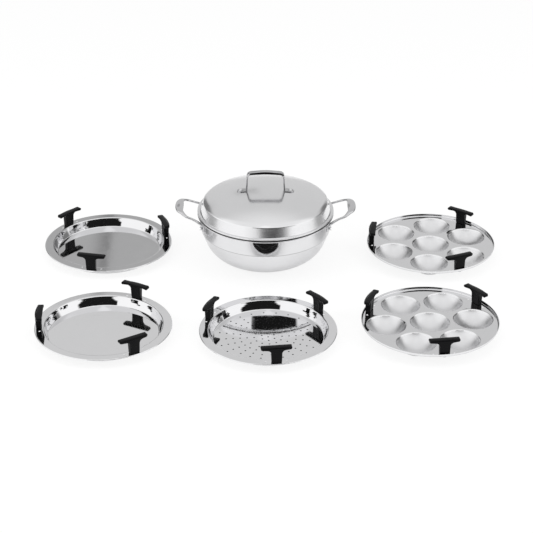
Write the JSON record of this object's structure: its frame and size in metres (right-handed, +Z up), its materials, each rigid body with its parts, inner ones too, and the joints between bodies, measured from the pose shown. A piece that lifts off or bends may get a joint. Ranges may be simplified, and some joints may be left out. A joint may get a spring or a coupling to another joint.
{
  "type": "idli steamer",
  "caption": "Steel steamer pot with a domed lid and loop handles, shown with its flat pans, perforated pan and round-cavity plates on black T stands laid out around it.",
  "frame": {"origin": "centre of the pot's flat base, on the table", "axes": "+X to the right across the laid-out set, seen from the front, +Y to the back, +Z up"},
  "size_m": [0.8506, 0.5718, 0.1786],
  "materials": {
    "pot_steel": "spun and satin polished stainless steel with fine turning lines",
    "side_handle_steel": "polished stainless steel",
    "lid_steel": "mirror polished stainless steel",
    "lid_handle_steel": "polished stainless steel",
    "rivet_steel": "polished stainless steel",
    "pan_steel": "mirror polished stainless steel sheet",
    "cavity_plate_steel": "mirror polished, deep drawn stainless steel sheet",
    "stand_plastic": "moulded black heat-resistant plastic, satin",
    "screw_steel": "zinc plated steel",
    "washer_steel": "zinc plated steel"
  },
  "bodies": {
    "pot": {"pot_body": "pot_steel", "side_handle_left": "side_handle_steel", "side_handle_right": "side_handle_steel"},
    "lid": {"lid_shell": "lid_steel", "lid_handle": "lid_handle_steel", "lid_rivets": "rivet_steel"},
    "rear_pan": {"rear_pan": "pan_steel", "rear_pan_stand_1": "stand_plastic", "rear_pan_stand_2": "stand_plastic", "rear_pan_stand_3": "stand_plastic", "rear_pan_screws": "screw_steel", "rear_pan_washers": "washer_steel"},
    "front_pan": {"front_pan": "pan_steel", "front_pan_stand_1": "stand_plastic", "front_pan_stand_2": "stand_plastic", "front_pan_stand_3": "stand_plastic", "front_pan_screws": "screw_steel", "front_pan_washers": "washer_steel"},
    "steam_pan": {"steam_pan": "pan_steel", "steam_pan_stand_1": "stand_plastic", "steam_pan_stand_2": "stand_plastic", "steam_pan_stand_3": "stand_plastic", "steam_pan_screws": "screw_steel", "steam_pan_washers": "washer_steel"},
    "rear_idli": {"rear_idli_plate": "cavity_plate_steel", "rear_idli_stand_1": "stand_plastic", "rear_idli_stand_2": "stand_plastic", "rear_idli_stand_3": "stand_plastic", "rear_idli_screws": "screw_steel", "rear_idli_washers": "washer_steel"},
    "front_idli": {"front_idli_plate": "cavity_plate_steel", "front_idli_stand_1": "stand_plastic", "front_idli_stand_2": "stand_plastic", "front_idli_stand_3": "stand_plastic", "front_idli_screws": "screw_steel", "front_idli_washers": "washer_steel"}
  },
  "joints": [
    {"name": "lid_lift", "type": "slide", "parent": "pot", "child": "lid", "axis": [0, 0, 1], "range_m": [0, 0.15]},
    {"name": "rear_pan_lift", "type": "slide", "parent": "pot", "child": "rear_pan", "axis": [0, 0, 1], "range_m": [0, 0.2]},
    {"name": "front_pan_lift", "type": "slide", "parent": "pot", "child": "front_pan", "axis": [0, 0, 1], "range_m": [0, 0.2]},
    {"name": "steam_pan_lift", "type": "slide", "parent": "pot", "child": "steam_pan", "axis": [0, 0, 1], "range_m": [0, 0.2]},
    {"name": "rear_idli_lift", "type": "slide", "parent": "pot", "child": "rear_idli", "axis": [0, 0, 1], "range_m": [0, 0.2]},
    {"name": "front_idli_lift", "type": "slide", "parent": "pot", "child": "front_idli", "axis": [0, 0, 1], "range_m": [0, 0.2]}
  ]
}
